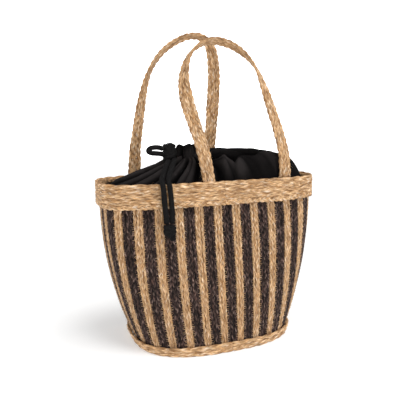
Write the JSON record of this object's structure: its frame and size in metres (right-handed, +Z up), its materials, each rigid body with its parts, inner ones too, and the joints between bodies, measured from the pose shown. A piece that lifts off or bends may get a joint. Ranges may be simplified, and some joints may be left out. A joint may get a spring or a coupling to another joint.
{
  "type": "woven market basket",
  "caption": "Oval tote basket of plaited jute in dark and natural upright stripes, with two long strap handles and a black drawstring cloth closure.",
  "frame": {"origin": "centre of the basket's base, where it stands on the floor", "axes": "+X along the basket's length, -Y out of the front with the cord tails, +Z up"},
  "size_m": [0.4206, 0.2346, 0.5656],
  "materials": {
    "natural_jute": "coarse plaited jute fibre, matt, with loose hairs",
    "dark_jute": "coarse plaited jute fibre dyed dark grey-brown, matt and mottled",
    "black_cotton": "plain-woven matt cotton cloth",
    "black_cord": "soft braided cotton cord, matt"
  },
  "bodies": {
    "basket": {"base_coil": "natural_jute", "base_row_1": "natural_jute", "base_row_2": "natural_jute", "wall_dark_01": "dark_jute", "wall_dark_02": "dark_jute", "wall_dark_03": "dark_jute", "wall_dark_04": "dark_jute", "wall_dark_05": "dark_jute", "wall_dark_06": "dark_jute", "wall_dark_07": "dark_jute", "wall_dark_08": "dark_jute", "wall_dark_09": "dark_jute", "wall_dark_10": "dark_jute", "wall_dark_11": "dark_jute", "wall_dark_12": "dark_jute", "wall_dark_13": "dark_jute", "wall_dark_14": "dark_jute", "wall_natural_01": "natural_jute", "wall_natural_02": "natural_jute", "wall_natural_03": "natural_jute", "wall_natural_04": "natural_jute", "wall_natural_05": "natural_jute", "wall_natural_06": "natural_jute", "wall_natural_07": "natural_jute", "wall_natural_08": "natural_jute", "wall_natural_09": "natural_jute", "wall_natural_10": "natural_jute", "wall_natural_11": "natural_jute", "wall_natural_12": "natural_jute", "wall_natural_13": "natural_jute", "wall_natural_14": "natural_jute", "rim_row_1": "natural_jute", "rim_row_2": "natural_jute", "rim_row_3": "natural_jute", "rim_row_4": "natural_jute", "rim_row_5": "natural_jute", "front_handle_end_left": "natural_jute", "front_handle_end_right": "natural_jute", "back_handle_end_left": "natural_jute", "back_handle_end_right": "natural_jute", "lining_bag": "black_cotton"},
    "front_handle": {"front_handle_plait_1": "natural_jute", "front_handle_plait_2": "natural_jute", "front_handle_plait_3": "natural_jute"},
    "back_handle": {"back_handle_plait_1": "natural_jute", "back_handle_plait_2": "natural_jute", "back_handle_plait_3": "natural_jute"},
    "closure": {"closure_skirt": "black_cotton", "closure_neck": "black_cotton", "drawstring_knot": "black_cord", "drawstring_loop": "black_cord", "drawstring_tail_left": "black_cord", "drawstring_tail_right": "black_cord", "drawstring_end_knot": "black_cord"}
  },
  "joints": [
    {"name": "front_handle_fold", "type": "hinge", "parent": "basket", "child": "front_handle", "pos_m": [0.053, -0.06105, 0.3035], "axis": [1, 0, 0], "range_deg": [-4, 95]},
    {"name": "back_handle_fold", "type": "hinge", "parent": "basket", "child": "back_handle", "pos_m": [-0.0505, 0.06105, 0.3035], "axis": [-1, 0, 0], "range_deg": [-4, 88]},
    {"name": "closure_lift", "type": "slide", "parent": "basket", "child": "closure", "axis": [0, 0, 1], "range_m": [0, 0.04], "deforming": ["closure_skirt"]}
  ]
}
